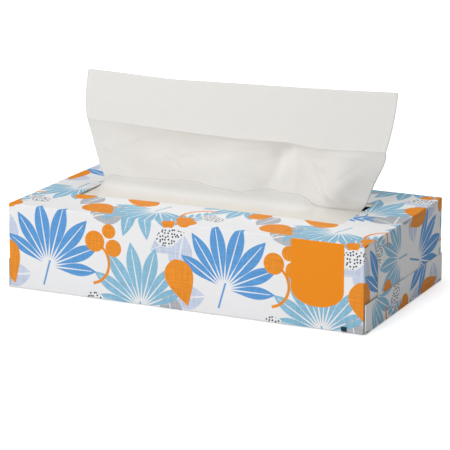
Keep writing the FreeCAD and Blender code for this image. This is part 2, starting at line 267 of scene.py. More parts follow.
class Wire:
    """An output socket of a node tree. Python's operators on it add Math nodes."""

    def __init__(self, tree, socket):
        self.tree = tree
        self.socket = socket

    def node(self, kind, settings, inputs, output=0):
        """Adds a node, sets its own settings, then gives its sockets values or wires."""
        made = self.tree.nodes.new(kind)
        for name, value in settings.items():
            setattr(made, name, value)
        for key, value in inputs.items():
            if isinstance(value, Wire):
                self.tree.links.new(value.socket, made.inputs[key])
            else:
                made.inputs[key].default_value = value
        return Wire(self.tree, made.outputs[output])

    def maths(self, operation, *values):
        return self.node("ShaderNodeMath", {"operation": operation}, dict(enumerate(values)))

    def __add__(self, other):
        return self.maths("ADD", self, other)

    __radd__ = __add__

    def __sub__(self, other):
        return self.maths("SUBTRACT", self, other)

    def __rsub__(self, other):
        return self.maths("SUBTRACT", other, self)

    def __mul__(self, other):
        return self.maths("MULTIPLY", self, other)

    __rmul__ = __mul__

    def __truediv__(self, other):
        return self.maths("DIVIDE", self, other)

    def __abs__(self):
        return self.maths("ABSOLUTE", self)

    def __pow__(self, other):
        return self.maths("POWER", self, other)

    def __lt__(self, other):
        return self.maths("LESS_THAN", self, other)

    def __gt__(self, other):
        return self.maths("GREATER_THAN", self, other)

    def least(self, other):
        return self.maths("MINIMUM", self, other)

    def most(self, other):
        return self.maths("MAXIMUM", self, other)

    def wrap(self, low, high):
        return self.maths("WRAP", self, high, low)

    def floor(self):
        return self.maths("FLOOR", self)

    def sine(self):
        return self.maths("SINE", self)

    def cosine(self):
        return self.maths("COSINE", self)

    def root(self):
        return self.maths("SQRT", self)

    def clip(self):
        return self.node("ShaderNodeClamp", {}, {"Value": self, "Min": 0.0, "Max": 1.0})

    def ramp(self, low, high):
        """0 at low, 1 at high, straight between."""
        return ((self - low) / (high - low)).clip()

    def split(self):
        """The three numbers of a vector."""
        made = self.node("ShaderNodeSeparateXYZ", {}, {"Vector": self})
        return [Wire(self.tree, socket) for socket in made.socket.node.outputs]

    def noise(self, scale, detail=2.0, roughness=0.5):
        return self.node("ShaderNodeTexNoise", {}, {
            "Vector": self, "Scale": scale, "Detail": detail, "Roughness": roughness})

    def stretched(self, sizes):
        """This place with each axis multiplied by its own number."""
        return self.node("ShaderNodeVectorMath", {"operation": "MULTIPLY"}, {0: self, 1: sizes})


def joined(x, y, z=0.0):
    return x.node("ShaderNodeCombineXYZ", {}, {"X": x, "Y": y, "Z": z})


def painted(factor, under, over):
    """One colour over another, by a factor from 0 to 1."""
    under, over = (look if isinstance(look, Wire) else (*look, 1.0) for look in (under, over))
    return factor.node(
        "ShaderNodeMix", {"data_type": "RGBA"}, {0: factor, 6: under, 7: over}, output=2)


def mixed(factor, under, over):
    """One number or another, by a factor of 0 or 1."""
    return factor.node("ShaderNodeMix", {"data_type": "FLOAT"}, {0: factor, 2: under, 3: over})


def shaded(look, amount):
    """A colour made lighter or darker by a number near 1."""
    return amount.node("ShaderNodeVectorMath", {"operation": "SCALE"}, {0: look, "Scale": amount})


def new_material(name):
    """A material with a Principled BSDF, that shader, and the object's own place in mm."""
    material = bpy.data.materials.new(name)
    material.use_nodes = True
    tree = material.node_tree
    shader = tree.nodes["Principled BSDF"]
    place = Wire(tree, tree.nodes.new("ShaderNodeTexCoord").outputs["Object"])
    return material, shader, place.stretched((1 / MM, 1 / MM, 1 / MM))


def flat_place(material):
    """The place on the piece's own flat pattern, in mm, from its UV map."""
    tree = material.node_tree
    return Wire(tree, tree.nodes.new("ShaderNodeUVMap").outputs["UV"]).stretched((1 / MM, 1 / MM, 1))


def feed(shader, **values):
    """Sets or links the shader's sockets: Base_Color is Base Color."""
    for name, value in values.items():
        socket = shader.inputs[name.replace("_", " ")]
        if isinstance(value, Wire):
            value.tree.links.new(value.socket, socket)
        else:
            socket.default_value = value


def bumped(height, distance, strength):
    """A Normal from a height of 0 to 1 that stands for this many metres."""
    return height.node("ShaderNodeBump", {}, {
        "Height": height, "Distance": distance, "Strength": strength})


# The print, in mm on the flat blank: each motif gives how far inside its outline a place lies

REPEAT_U = 116.0
REPEAT_V = 356.0 / 3  # a third of the way round the carton
INK_START = 0.03  # an ink starts this far inside its outline


def seen_from(place, u, v, degrees):
    """The place along and across a motif at (u, v) that is turned by degrees, as the print repeats."""
    from_motif = place.node(
        "ShaderNodeVectorMath", {"operation": "SUBTRACT"}, {0: place, 1: (u, v, 0)})
    near = from_motif.node("ShaderNodeVectorMath", {"operation": "WRAP"}, {
        0: from_motif, 1: (REPEAT_U / 2, REPEAT_V / 2, 1), 2: (-REPEAT_U / 2, -REPEAT_V / 2, -1)})
    turned = near.node("ShaderNodeVectorRotate", {"rotation_type": "Z_AXIS"}, {
        "Vector": near, "Angle": -math.radians(degrees)})
    return turned.split()[:2]


def veined(inside, side, t, vein):
    """An outline less its vein, which tapers with the share t of the length and ends at 7/8 of it."""
    return inside.least((side - (1 - t) * vein).most(t * 8 - 7))


def leaf(at, length, width, peak=1.0, vein=0.0):
    """Half-width width/2 · sin(pi · t^peak) at the share t of the length, less a vein if it has one."""
    along, across = at
    t = (along / length).clip()
    side = abs(across)
    inside = (t ** peak * math.pi).sine() * (width / 2) - side
    return veined(inside, side, t, vein) if vein else inside


def berry(at, radius):
    """Radius less the distance from the middle."""
    along, across = at
    return radius - (along * along + across * across).root()


def stem(at, radius, width):
    """Half a ring: half the width less the distance from the circle, where along is positive."""
    along, across = at
    from_middle = (along * along + across * across).root()
    return (width / 2 - abs(from_middle - radius)).least(along)


def fan_leaf(at, length, leaflets=7, half_degrees=86, droop=0.3, fill=0.56, vein=0.45):
    """Veined leaflets round one point, shorter towards the sides by droop, and a stalk. Each has the
    half-width sin(pi · t^1.5) at the share t of its own ray."""
    stalk_half, stalk_share, stalk_end = 0.7, 0.3, 4
    cut_slope = 20  # the fan ends on a straight ray, which this makes crisp
    along, across = at
    half = math.radians(half_degrees)
    cell = 2 * half / leaflets
    reach = (along * along + across * across).root()
    angle = along.maths("ARCTAN2", across, along)
    turn = angle.wrap(-cell / 2, cell / 2)
    from_middle = (angle - turn) / half
    own = length - from_middle * from_middle * (length * droop)
    t = (reach * turn.cosine() / own).clip()
    side = abs(reach * turn.sine())
    inside = (t ** 1.5 * math.pi).sine() * own * (math.tan(cell / 2) * fill) - side
    inside = veined(inside, side, t, vein).least((half - abs(angle)) * cut_slope)
    stalk = (stalk_half - abs(across)).least(along + length * stalk_share).least(stalk_end - along)
    return inside.most(stalk)


def sprig(at, length, pairs, leaflet, slant=1.0, fill=0.42):
    """Pairs of leaflets that slant forward from a rib, smaller towards the tip. Each has the half-width
    fill · pitch · sin(pi · t^0.8) at the share t of its length."""
    shrink, crisp = 0.6, 0.01
    rib_half, rib_below, rib_above = 0.5, 8, 2
    along, across = at
    pitch = length / pairs
    side = abs(across)
    back = along - side * slant
    pair = (back / pitch).floor()
    from_axis = abs(back - (pair + 0.5) * pitch)
    t = (side / ((1 - pair * (shrink / pairs)) * leaflet)).clip()
    inside = (t ** 0.8 * math.pi).sine() * (fill * pitch) - from_axis
    inside = inside.least(back + crisp).least(length - back)
    rib = (rib_half - side).least(along + rib_below).least(length + rib_above - along)
    return inside.most(rib)


def together(shapes):
    """The outline of several motifs at once."""
    whole = shapes[0]
    for shape in shapes[1:]:
        whole = whole.most(shape)
    return whole


def leaves(p, peak, vein, motifs):
    """Several leaves. Each motif is its place u and v, its turn in degrees, its length and its width."""
    return together([
        leaf(seen_from(p, u, v, turn), length, width, peak, vein)
        for u, v, turn, length, width in motifs])


def lilac_motifs(p):
    return leaves(p, 0.9, 0.5, (
        (46, 96, 118, 26, 16), (46, 96, 62, 24, 14), (2, 50, -100, 27, 16),
        (2, 50, -150, 25, 14), (16, 14, -170, 24, 15)))


def grey_motifs(p):
    return leaves(p, 0.9, 0.5, (
        (58, 54, 70, 28, 17), (58, 54, 18, 26, 15), (112, 108, 100, 26, 16),
        (112, 108, 152, 24, 14), (46, 94, -104, 22, 14)))


def light_blue_motifs(p):
    return together([
        fan_leaf(seen_from(p, 90, 2, 100), 40),
        fan_leaf(seen_from(p, 90, 80, -108), 38),
        fan_leaf(seen_from(p, 20, 112, -92), 34),
        sprig(seen_from(p, 106, 52, 62), 34, 6, 11),
    ])


def mid_blue_motifs(p):
    return together([
        fan_leaf(seen_from(p, 28, 20, 74), 42),
        sprig(seen_from(p, 58, 106, 12), 38, 6, 12),
    ])


def orange_motifs(p):
    """Two stems, their berries as place and radius, and drops."""
    berries = ((59.6, 39, 6.6), (72, 36, 5.4), (69, 46, 4.6), (114, 66, 5.6), (2, 60, 6.2), (108, 56, 4.4))
    return together([
        stem(seen_from(p, 56, 26, 10), 13, 2.0),
        stem(seen_from(p, 6, 76, 170), 14, 2.0),
        *(berry(seen_from(p, u, v, 0), radius) for u, v, radius in berries),
        leaves(p, 0.62, 0.0, (
            (46, 76, -35, 28, 19), (112, 34, -72, 29, 19), (84, 89, 165, 24, 16), (30, 86, 50, 18, 13))),
    ])


def seed_pods(p):
    return leaves(p, 0.7, 0.0, ((56, 8, -60, 21, 13), (100, 44, 20, 21, 12), (20, 70, 150, 21, 12)))


def seeds(p, pitch=2.0, radius=0.66):
    """Dots one to a cell of a loose grid: the radius less the distance to the nearest one."""
    cells = p.node("ShaderNodeTexVoronoi", {"voronoi_dimensions": "2D"}, {
        "Vector": p, "Scale": 1 / pitch, "Randomness": 0.6}, output="Distance")
    return radius - cells * pitch


def blank_place(place):
    """Where a point of the folded carton lies on the flat blank, and its depth under the print, in mm.

    The front, back and bottom unroll from the top. An end flap unrolls from the panel that it hangs on.
    """
    too_deep = 9.0  # deeper than any wall
    end_reach = 0.7  # an end's flaps begin within this of the panels' ends
    x, y, z = place.split()
    away = abs(x)
    side = x.maths("SIGN", x)
    top = HEIGHT - z
    front = y + HALF_WIDTH
    back = HALF_WIDTH - y

    round_v = mixed(front < top.least(back), y, -HALF_WIDTH - top)
    round_v = mixed(back < top.least(front), round_v, HALF_WIDTH + top)
    under = z < front.least(back).least(top)
    bottom_v = -2 * HALF_WIDTH - HEIGHT - y
    round_v = mixed(under, round_v, bottom_v)

    low = (z < BOTTOM_FLAP) * (front.least(back) > BOTTOM_FLAP_SIDE)
    taper = (top / TOP_FLAP_SHOULDER).clip() * TOP_FLAP_TAPER
    under_top_flap = (front > taper + TOP_FLAP_FRONT) * (back > TOP_FLAP_BACK)
    face = mixed(under_top_flap, HALF_LENGTH - 2 * BOARD, HALF_LENGTH - BOARD)
    face = mixed(low, face, HALF_LENGTH)
    end_depth = abs(away - face)

    dust_u = mixed(y > 0, front, back) + (HALF_LENGTH - 2 * BOARD)
    dust_v = mixed(y > 0, -HALF_WIDTH - top, HALF_WIDTH + top)
    end_u = mixed(under_top_flap, dust_u, top + (HALF_LENGTH - BOARD))
    end_v = mixed(under_top_flap, dust_v, y)
    end_u = mixed(low, end_u, z + HALF_LENGTH)
    end_v = mixed(low, end_v, bottom_v)

    panel_depth = top.least(front).least(back).least(z)
    on_end = (end_depth < panel_depth) * (away > HALF_LENGTH - 2 * BOARD - end_reach)
    u = mixed(on_end, x, end_u * side)
    v = mixed(on_end, round_v, end_v)
    depth = panel_depth.least(mixed(on_end, too_deep, end_depth))
    return u, v, depth


def cut_edges(place, depth):
    """1 on bare board: the inside, and the cut edges of the flaps and of the opening."""
    inner_side, ink_depth = 0.3, 0.05
    hair, skin = 0.02, 0.03  # room beside a cut edge and beside a face
    floor_fold, top_fold = 0.7, 0.2
    end_room, side_room = 2, 1
    x, y, z = place.split()
    away = abs(x)
    inside = depth > inner_side
    flap_top = (away > HALF_LENGTH - BOARD + skin) * (z > BOTTOM_FLAP - hair)
    between = (away > HALF_LENGTH - 2 * BOARD + 2 * skin) * (away < HALF_LENGTH - BOARD - 2 * skin)
    flap_side = between * (z > floor_fold) * (z < UNDER_TOP - top_fold)
    in_length = away < end_room - OPENING_X0
    in_width = abs(y - SLIT_Y) < OPENING_Y1 - SLIT_Y + side_room
    opening = in_length * in_width * (depth > ink_depth)
    return inside.most(flap_top).most(flap_side).most(opening)


def front_tab(x, z):
    """Plain tab that hangs from the top front fold: straight sides, then a wide round end."""
    middle_x, half_wide, low, shoulder = 86.5, 16.5, 13.0, 23.5
    fall = (shoulder - z).most(0.0) / (shoulder - low)
    round_end = (1 - fall ** 2.0).most(0.0) ** 0.5 * half_wide
    return (round_end - abs(x - middle_x)).least(z - low)


def square_mark(x, z):
    """Small plain square near the foot of the front's right end."""
    middle_x, middle_z, half_wide, half_high = 103.2, 2.1, 1.9, 1.5
    return (half_wide - abs(x - middle_x)).least(half_high - abs(z - middle_z))


def linen_shade(place_on_blank, depth):
    """Two sets of uneven threads at right angles, about 1 for the mean: a noise stretched along each."""
    fine, long = 1.05, 0.07
    warp = place_on_blank.stretched((fine, long, 1.0)).noise(1.0, roughness=0.6)
    weft = place_on_blank.stretched((long, fine, 1.0)).noise(1.0, roughness=0.6)
    return 1 + (warp + weft - 1.0) * (2 * depth)


def print_material(settings):
    """Coated white board with flat inks, as layers from pale to dark."""
    crisp, crisper = 0.2, 0.15
    pod_rim = 0.5  # seeds keep this far inside their pod
    front_skin, above_floor, under_fold = 0.3, 0.3, 0.2
    dark_fibre = 0.86
    material, shader, place = new_material("printed_board")
    x, y, z = place.split()
    u, v, depth = blank_place(place)
    blank = joined(u, v)
    edge = settings.edge / MM
    inks = [
        (lilac_motifs(blank), settings.lilac),
        (grey_motifs(blank), settings.grey),
        (light_blue_motifs(blank), settings.light_blue),
        (mid_blue_motifs(blank), settings.mid_blue),
        (orange_motifs(blank), settings.orange),
    ]
    look = settings.ground
    printed = []
    for shape, paint in inks:
        printed.append(shape.ramp(INK_START, edge))
        look = painted(printed[-1], look, paint)
    linen = linen_shade(blank, settings.linen)
    look = shaded(look, mixed(together(printed), 1.0, linen))

    pods = seed_pods(blank)
    dots = seeds(blank).least(pods - pod_rim)
    look = painted(pods.ramp(INK_START, edge), look, settings.ground)
    look = painted(dots.ramp(0.0, crisp), look, settings.navy)
    on_front = (y < front_skin - HALF_WIDTH) * (z > above_floor) * (z < HEIGHT - under_fold)
    look = painted(front_tab(x, z).ramp(0.0, crisp) * on_front, look, settings.tab_orange)
    look = painted(square_mark(x, z).ramp(0.0, crisper) * on_front, look, settings.navy)

    bare = cut_edges(place, depth)
    fibres = place.noise(0.9, detail=6.0, roughness=0.65)
    board = painted(fibres, [dark_fibre * c for c in settings.bare_board], settings.bare_board)
    grain = place.noise(1.6, detail=4.0, roughness=0.6)
    feed(
        shader,
        Base_Color=painted(bare, look, board),
        Roughness=mixed(bare, grain * 0.14 + 0.5, 0.9),
        Normal=bumped(grain, 0.00004, 0.5),
        Specular_IOR_Level=0.16,
    )
    return material


# Cloth-thin surfaces

def smooth(t):
    """3t² - 2t³ between 0 and 1."""
    t = np.clip(t, 0, 1)
    return t * t * (3 - 2 * t)


def bump(distance, width):
    """exp(-(distance/width)²)."""
    return np.exp(-(distance / width) ** 2)


def peak(distance, width):
    """A ridge with a tight top: exp(-sqrt(distance² + 0.4²)/width)."""
    return np.exp(-np.sqrt(distance ** 2 + 0.4 ** 2) / width)


def soft(x, depth, place, width):
    """A soft fold: depth · exp(-((x - place)/width)²)."""
    return depth * bump(x - place, width)


def grid_faces(rows, columns, first=0):
    """Quads of a grid whose points run row by row, whose normals follow columns × rows."""
    row, column = np.mgrid[0:rows - 1, 0:columns - 1]
    corner = first + row * columns + column
    return np.stack([corner, corner + 1, corner + columns + 1, corner + columns], -1).reshape(-1, 4)


def new_piece(name, points, faces, uv, material, node, thickness):
    """A mesh in metres from points in mm, with its flat places as UV, closed to a thickness."""
    merge_within = 0.01
    mesh = bpy.data.meshes.new(name)
    mesh.from_pydata((points * MM).tolist(), [], faces.tolist())
    layer = mesh.uv_layers.new(name="flat")
    layer.data.foreach_set("uv", (uv * MM)[faces.ravel()].astype(np.float32).ravel())
    work = bmesh.new()
    work.from_mesh(mesh)
    bmesh.ops.remove_doubles(work, verts=work.verts, dist=merge_within * MM)
    work.to_mesh(mesh)
    work.free()
    mesh.polygons.foreach_set("use_smooth", np.ones(len(mesh.polygons), bool))
    mesh.materials.append(material)
    piece = bpy.data.objects.new(name, mesh)
    bpy.context.scene.collection.objects.link(piece)
    wall = piece.modifiers.new("wall", "SOLIDIFY")
    wall.thickness = thickness
    wall.offset = 0.0
    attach(piece, "root")
    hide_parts(node)
    return piece


def flowing(x, places, values):
    """Values at given places, joined by 3t² - 2t³."""
    places, values = np.array(places), np.array(values)
    x = np.clip(x, places[0], places[-1])
    first = np.clip(np.searchsorted(places, x, side="right") - 1, 0, len(places) - 2)
    t = smooth((x - places[first]) / (places[first + 1] - places[first]))
    return values[first] + (values[first + 1] - values[first]) * t


def crease_height(sheet):
    return (sheet.stands - sheet.strip) / MM


def held(height, crease, until):
    """1 up to a height, then less, as 1 - (3t² - 2t³), to 0 at the crease."""
    return 1 - smooth((height - until) / (crease - until))


def turned_back(height, crease):
    """How far the sheet's right end turns back: held over the slit, then less towards the crease."""
    return RIGHT_TURN * held(height, crease, RIGHT_TURN_HOLDS)


def sheet_sides(height, sheet):
    """X of the sheet's two sides: the slit's ends, then a flare of 1 - exp(-height/4) and a spread by a
    power of 3t² - 2t³ up to the crease. The right end's extra turn takes a share off its x."""
    crease = crease_height(sheet)
    left = OPENING_X0 + SLIT_END_GAP
    right = OPENING_X1 - SLIT_END_GAP / 2
    spread = smooth(height / crease)
    flare = 1 - np.exp(-np.maximum(0, height) / FLARE_HEIGHT)
    over = np.clip((height - crease) / (sheet.strip / MM), 0, 1)
    bowed = LEFT_TUCK * (1 - np.sqrt(over)) - STRIP_BOW * np.sin(math.pi * over)
    left_far = bowed - HALF_STACK - LEFT_OVERHANG
    right_far = HALF_STACK - RIGHT_TUCK * (1 - over) ** 2
    left = left + (left_far + LEFT_FLARE - left) * spread ** LEFT_SPREAD - LEFT_FLARE * flare
    right = right + (right_far - RIGHT_FLARE - right) * spread ** RIGHT_SPREAD + RIGHT_FLARE * flare
    plain = RIGHT_TURN * held(height, crease, LEFT_TURN_HOLDS)
    return left, right - TURN_DRAWS_IN * (turned_back(height, crease) - plain)


def undercut(x, under, crease):
    """How far the paper falls away at a distance under the crease: depth · (0.8 sin(pi/2 · t) + 0.2 t) at the
    share t of its reach, and less beyond it. A little over the slit it is back in its place."""
    over_slit = 2
    depth, reach = flowing(x, *UNDERCUT_DEPTH), flowing(x, *UNDERCUT_REACH)
    share = np.clip(under / reach, 0, 1)
    falling = 0.8 * np.sin(math.pi / 2 * share) + 0.2 * share
    return depth * falling * (1 - smooth((under - reach) / (crease - reach - over_slit)))


def soft_folds(x, height, crease, line):
    """A bulge forward, a valley and a rib right of the middle, and a shoulder beside the slanting fold."""
    fade_in, fade_out = 10, 6
    bulge = soft(x, *BULGE) * smooth((crease - height) / BULGE_FADE)
    valley = soft(x - VALLEY_SLANT * height, *VALLEY)
    rib = RIB_DEPTH * peak(x - RIB_X, RIB_WIDTH)
    fade = smooth(height / fade_in) * smooth((crease - height) / fade_out)
    return fade * (valley - bulge - rib - soft(x - line, *SHOULDER))


def sheet_y(x, height, sheet):
    """Y of the sheet. It leans with the height and bows with across². The crease stands forward, the strip
    over it is flat, and the paper under it is undercut. Its left end turns back at the slit, and so does
    its right end past a slanting line."""
    stands = sheet.stands / MM
    crease = crease_height(sheet)
    left, right = sheet_sides(height, sheet)
    across = (2 * x - left - right) / (right - left)
    up = np.clip(height / crease, 0, 1)
    over = np.clip((height - crease) / (sheet.strip / MM), 0, 1)
    lean = sheet.lean / MM * np.maximum(0, height) / stands
    bow = sheet.bow / MM * smooth(up) * across ** 2
    ridge = -sheet.ridge / MM * up * (1 - over)
    hollow = undercut(x, crease * (1 - up), crease)
    left_end = smooth((-across - LEFT_TURN_FROM) / (1 - LEFT_TURN_FROM))
    line = FOLD_FOOT + FOLD_SLANT * crease * up
    past = FOLD_ROUND * np.logaddexp(0, (x - line) / FOLD_ROUND)
    turned = LEFT_TURN * left_end * held(height, crease, LEFT_TURN_HOLDS)
    turned = turned + turned_back(height, crease) * past / (right - line)
    in_box = smooth(1 + height / HEADROOM)
    return SLIT_Y + lean + bow + ridge + hollow + in_box * turned + soft_folds(x, height, crease, line)


def sheet_lift(x, height, sheet):
    """Z added to the height. The crease falls to the right with a step right of the middle. The top edge
    rises to the right and sags a little left of the middle."""
    crease = crease_height(sheet)
    share = np.clip(height / crease, 0, 1)
    over = np.clip((height - crease) / (sheet.strip / MM), 0, 1)
    tilt = -CREASE_DROP / 2 * share ** 2 + (CREASE_DROP + EDGE_RISE) / 2 * over
    step = flowing(x, *CREASE_STEP) * bump(height - crease, STEP_REACH)
    return tilt * x / HALF_STACK + step - over * soft(x, *TOP_SAG)


def fine_creases(x, height):
    """Short straight ridges of random place, turn and length, each depth · peak(across) · bump(along)."""
    random = np.random.default_rng(FINE_SEED)
    total = np.zeros_like(x)
    for _ in range(FINE_COUNT):
        middle_x, middle_h = random.uniform(*FINE_X), random.uniform(*FINE_HEIGHT)
        turn, long = random.uniform(*FINE_TURN), random.uniform(*FINE_LENGTH)
        wide, deep = random.uniform(*FINE_WIDTH), random.uniform(*FINE_DEPTH)
        along = (x - middle_x) * math.cos(turn) + (height - middle_h) * math.sin(turn)
        away = (height - middle_h) * math.cos(turn) - (x - middle_x) * math.sin(turn)
        total += deep * peak(away, wide) * bump(along, long)
    return total


def line_crease(x, height, start, end, wide):
    """A ridge of height 1 from one place to another, rounded off past its ends."""
    end_round = 3
    (x0, h0), (x1, h1) = start, end
    long = math.hypot(x1 - x0, h1 - h0)
    along = ((x - x0) * (x1 - x0) + (height - h0) * (h1 - h0)) / long
    away = ((height - h0) * (x1 - x0) - (x - x0) * (h1 - h0)) / long
    past = np.maximum(0, np.maximum(-along, along - long))
    return peak(away, wide) * bump(past, end_round)


def sheet_details(x, height, film, sheet):
    """Small creases, which end at the film: a double line along the main crease, the ones that are seen
    and a sprinkling of fine ones."""
    main_depth, main_width = 0.45, 0.8
    second_up, second_depth, second_width = 2.2, 0.15, 0.6
    fade, lip_gap = 5, 0.5
    crease = crease_height(sheet)
    line = -main_depth * peak(height - crease, main_width)
    line = line - second_depth * peak(height - crease - second_up, second_width)
    seen = 0
    for start, end, wide, deep in SEEN_CREASES:
        seen = seen + deep * line_crease(x, height, start, end, wide)
    fine = sheet.crumple / MM * fine_creases(x, height) * smooth((crease - height) / fade)
    return (line + seen + fine) * smooth((height - lip_rise(x, film) - lip_gap) / fade)


def standing_rows(film, sheet):
    """The sheet from its top edge down to the stack, row by row, with closer rows at the crease."""
    near = 3.0
    foot = STACK_TOP + 2 * SHEET_CAD + TAIL_LOOP - HEIGHT
    crease = crease_height(sheet)
    heights = np.concatenate([
        np.linspace(sheet.stands / MM, crease + near, STRIP_ROWS)[:-1],
        np.linspace(crease + near, crease - near, CREASE_ROWS)[:-1],
        np.linspace(crease - near, foot + FOOT_BEND, PLAIN_ROWS)])[:, None]
    share = np.linspace(0, 1, sheet.across)[None, :]
    left, right = sheet_sides(heights, sheet)
    x = left + (right - left) * share
    height = np.broadcast_to(heights, x.shape)
    y = sheet_y(x, height, sheet) + sheet_details(x, height, film, sheet)
    return np.stack([x, y, HEIGHT + height + sheet_lift(x, height, sheet)], -1)


def tail_rows(sheet, last):
    """The rest of the sheet on the stack: a quarter-circle bend, the upper leaf back to a half-circle fold,
    and the leaf under it. The upper leaf has low waves of 1 + sin(x/9 + y/5)."""
    wave = 0.25
    share = np.linspace(0, 1, last.shape[0])[None, :]
    full_width = HALF_STACK * (2 * share - 1)
    upper = STACK_TOP + SHEET_CAD * 1.5 + TAIL_LOOP
    lower = STACK_TOP + SHEET_CAD / 2
    fold = STACK_HALF_WIDTH - TAIL_BACK_GAP
    left, right = last[0, 0], last[-1, 0]
    start = last[:, 1][None, :]
    turn = np.linspace(0, math.pi / 2, BEND_ROWS)[1:, None]
    radius = last[:, 2][None, :] - upper
    bend_y = start + radius * (1 - np.cos(turn))
    bend = (left + (right - left) * share, bend_y, upper + radius * (1 - np.sin(turn)))

    from_start = np.linspace(0, 1, UPPER_ROWS)[1:, None]
    y = bend_y[-1:] + (fold - bend_y[-1:]) * from_start
    spread = y - start
    near, far = np.maximum(-HALF_STACK, left - spread), np.minimum(HALF_STACK, right + spread)
    x = near + (far - near) * share
    leaf_above = (x, y, upper + wave * (1 + np.sin(x / 9 + y / 5)) * np.sin(math.pi * from_start))

    side = np.linspace(0, math.pi, LOOP_ROWS)[1:-1, None]
    loop = (upper - lower) / 2
    round_fold = (full_width, fold + loop * np.sin(side), (upper + lower) / 2 + loop * np.cos(side))

    reach = FLAT_RUN - sheet.stands / MM - HEADROOM - (fold - SLIT_Y)
    leaf_under = (full_width, fold - reach * np.linspace(0, 1, LOWER_ROWS)[:, None], lower)
    parts = (bend, leaf_above, round_fold, leaf_under)
    return np.concatenate([np.stack(np.broadcast_arrays(*part), -1) for part in parts])


def sheet_points(film, sheet):
    """All rows of the sheet, and each point's place on the flat sheet, from the run's mean length."""
    standing = standing_rows(film, sheet)
    rows = np.concatenate([standing, tail_rows(sheet, standing[-1])])
    step = np.linalg.norm(np.diff(rows, axis=0), axis=2).mean(1)
    run = np.concatenate([[0], np.cumsum(step)])[:, None]
    across = np.linspace(-HALF_STACK, HALF_STACK, rows.shape[1])[None, :]
    return rows, np.stack(np.broadcast_arrays(across, -run), -1)


def opening_edge(x, back):
    """Y of the opening's long edge: an arc that bows inwards."""
    radius = (HALF_OPENING ** 2 + OPENING_BOW ** 2) / (2 * OPENING_BOW)
    from_middle = np.clip(x - OPENING_MID, -HALF_OPENING, HALF_OPENING)
    inwards = OPENING_BOW - radius + np.sqrt(radius ** 2 - from_middle ** 2)
    return OPENING_Y1 - inwards if back else OPENING_Y0 + inwards


def lip_rise(x, film):
    """How far the front lip rises over the film's plain level."""
    return film.front_rise / MM * flowing(x, *LIP_SHAPE)


def film_ripples(x, y, across):
    """Small waves: 0.16 sin(x/3.1 + 5 across) sin(x/7.3) + 0.1 sin(x/1.9 + y/3)."""
    return 0.16 * np.sin(x / 3.1 + 5 * across) * np.sin(x / 7.3) + 0.1 * np.sin(x / 1.9 + y / 3)


def film_rows(back, film, sheet):
    """Half the film, and for each point its x and how far it lies under the lip.

    It is flat under the panel, then rises with a power of the share to its lip beside the sheet. It sags at
    the opening's left edge, and at the right end the back lip draws back from the sheet.
    """
    edge_gap, sheet_gap = 0.8, 0.02
    power = 1.7 if back else 2.3
    closing_run, full_ripple = 5, 3
    sag_from_edge, sag_width, sag_fade = 2.5, 4.0, 6
    x = np.linspace(FILM_LOW[0], FILM_HIGH[0], FILM_COLUMNS)[None, :]
    across = np.clip((x - OPENING_MID) / HALF_OPENING, -1, 1)
    inwards = -1 if back else 1
    base = FILM_HIGH[1] if back else FILM_LOW[1]
    free = opening_edge(x, back) + inwards * edge_gap
    inside_x = np.clip(x, OPENING_X0, OPENING_X1)
    rise = film.back_rise / MM * np.maximum(0, 1 - across ** 4) if back else lip_rise(x, film)
    lip = sheet_y(inside_x, rise - BOARD, sheet) - inwards * (SHEET_CAD / 2 + sheet_gap)
    if back:
        hole_run = 2 * film.end_hole / MM
        hole = film.end_hole / MM * smooth((x - OPENING_X1 + hole_run) / hole_run)
        lip = np.minimum(lip + hole, free - edge_gap)
        rise = rise * smooth((free - lip) * MM / film.end_hole)
    closed = smooth((np.abs(x - OPENING_MID) - HALF_OPENING) / closing_run)
    closing_y = np.where(x > OPENING_MID, RIGHT_CLOSE_Y, SLIT_Y + LEFT_TURN)
    lip = lip + (closing_y - lip) * closed
    border = np.linspace(0, 1, BORDER_ROWS)[:-1, None]
    raised = np.linspace(0, 1, LIP_ROWS)[:, None]
    y = np.concatenate([base + (free - base) * border, free + (lip - free) * raised])
    share = np.concatenate([0 * border, raised])
    shape = share ** power
    ripples = film_ripples(x, y, across) * share ** 2 * np.clip(rise / full_ripple, 0, 1)
    shut = smooth((y - OPENING_Y0) / sag_fade) * smooth((OPENING_Y1 - y) / sag_fade)
    sag = film.sag / MM * bump(x - OPENING_X0 - sag_from_edge, sag_width) * shut * (1 - shape)
    z = UNDER_TOP - film.thickness / MM + rise * shape + ripples - sag
    points = np.stack(np.broadcast_arrays(x, y, z), -1)
    return points, np.stack(np.broadcast_arrays(x, rise * (1 - shape)), -1)


def film_material(film):
    """Thin cream film: faint cloudiness, fine drawn lines along the lips and a soft gloss. Where it rises
    against the sheet it is painted with the sheet's shaded tone, as if seen through it, up to a painted
    highlight along the lip."""
    tucked, clear, against = -0.6, 2.0, 4.5  # heights over the box at which the tone changes
    material, shader, place = new_material("cream_film")
    under_lip = flat_place(material).split()[1]
    over_box = place.split()[2] - HEIGHT
    # width of the painted highlight along the lip, in mm
    painted_lip_highlight = film.painted_lip_highlight / MM
    cloud = place.noise(0.06, detail=3.0, roughness=0.6)
    drawn = place.stretched((0.12, 1.1, 1.0)).noise(1.0, detail=4.0, roughness=0.6)
    tint = painted(over_box.ramp(tucked, clear), film.cream, film.tint)
    # Painted see-through: the sheet's shaded tone where the film rises against it, stopping short of the
    # lip's painted highlight
    painted_sheet_behind = over_box.ramp(clear, against) * under_lip.ramp(painted_lip_highlight / 2, painted_lip_highlight)
    tint = painted(painted_sheet_behind, tint, film.lip)
    feed(
        shader,
        Base_Color=shaded(tint, cloud * 0.05 + 0.975),
        Roughness=drawn * 0.2 + 0.34,
        Normal=bumped(drawn + cloud, 0.00025, 0.35),
        Alpha=film.alpha,
    )
    return material


